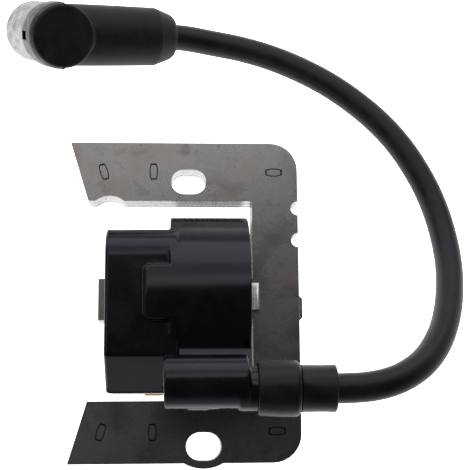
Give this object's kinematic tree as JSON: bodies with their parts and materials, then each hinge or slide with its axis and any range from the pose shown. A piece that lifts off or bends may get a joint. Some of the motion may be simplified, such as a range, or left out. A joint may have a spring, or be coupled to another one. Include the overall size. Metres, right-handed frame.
{
  "type": "ignition coil",
  "caption": "Ignition coil of a small engine: potted module on an E-shaped lamination stack, high-tension lead, rubber elbow boot with a metal plug shield.",
  "frame": {"origin": "centre of the underside of everything but the free lead and the boot on it, on the surface that the module's open back lies on", "axes": "+X from the arms' tips (flywheel side) to the spine, +Y from the lower arm to the upper arm, +Z from the back of the laminations to the front"},
  "size_m": [0.1211, 0.1273, 0.0527],
  "materials": {
    "lamination_steel": "cold-rolled, dull grey, mottled",
    "tinned_steel": "tinned, satin",
    "case_plastic": "moulded black, semi-gloss",
    "potting_epoxy": "poured, glossy",
    "bobbin_nylon": "moulded, natural",
    "copper_wire": "enamelled copper, wound",
    "insulation_film": "film",
    "board_laminate": "phenolic laminate",
    "component_epoxy": "moulded",
    "terminal_brass": "bright",
    "sleeve_rubber": "moulded, satin",
    "lead_rubber": "extruded, satin",
    "boot_rubber": "moulded, matt",
    "shield_steel": "drawn and plated, slightly blotchy"
  },
  "bodies": {
    "module": {"core_lamination_stack": "lamination_steel", "coil_retaining_clip": "tinned_steel", "module_case": "case_plastic", "potting_cap": "potting_epoxy", "primary_bobbin": "bobbin_nylon", "primary_winding": "copper_wire", "interlayer_insulation": "insulation_film", "secondary_bobbin": "bobbin_nylon", "secondary_winding_1": "copper_wire", "secondary_winding_2": "copper_wire", "secondary_winding_3": "copper_wire", "secondary_winding_4": "copper_wire", "charge_coil_bobbin": "bobbin_nylon", "charge_coil_winding": "copper_wire", "trigger_coil_bobbin": "bobbin_nylon", "trigger_coil_winding": "copper_wire", "circuit_board": "board_laminate", "storage_capacitor": "insulation_film", "thyristor": "component_epoxy", "charge_diode": "component_epoxy", "clamp_diode": "component_epoxy", "gate_resistor": "component_epoxy", "ground_strap": "tinned_steel", "stop_switch_terminal": "terminal_brass", "high_tension_terminal": "terminal_brass", "secondary_output_wire": "copper_wire", "ignition_lead": "lead_rubber"},
    "sleeve": {"lead_sleeve": "sleeve_rubber"},
    "boot": {"plug_boot": "boot_rubber", "plug_terminal_clip": "terminal_brass", "lead_terminal_pin": "terminal_brass", "plug_shield": "shield_steel"}
  },
  "joints": [
    {"name": "sleeve_slide", "type": "slide", "parent": "module", "child": "sleeve", "axis": [1, 0, 0], "range_m": [0, 0.005]},
    {"name": "boot_swivel", "type": "hinge", "parent": "module", "child": "boot", "pos_m": [-0.0369, 0.071, 0.02275], "axis": [0.9315, 0.1159, -0.3448], "range_deg": [-90, 90]}
  ]
}
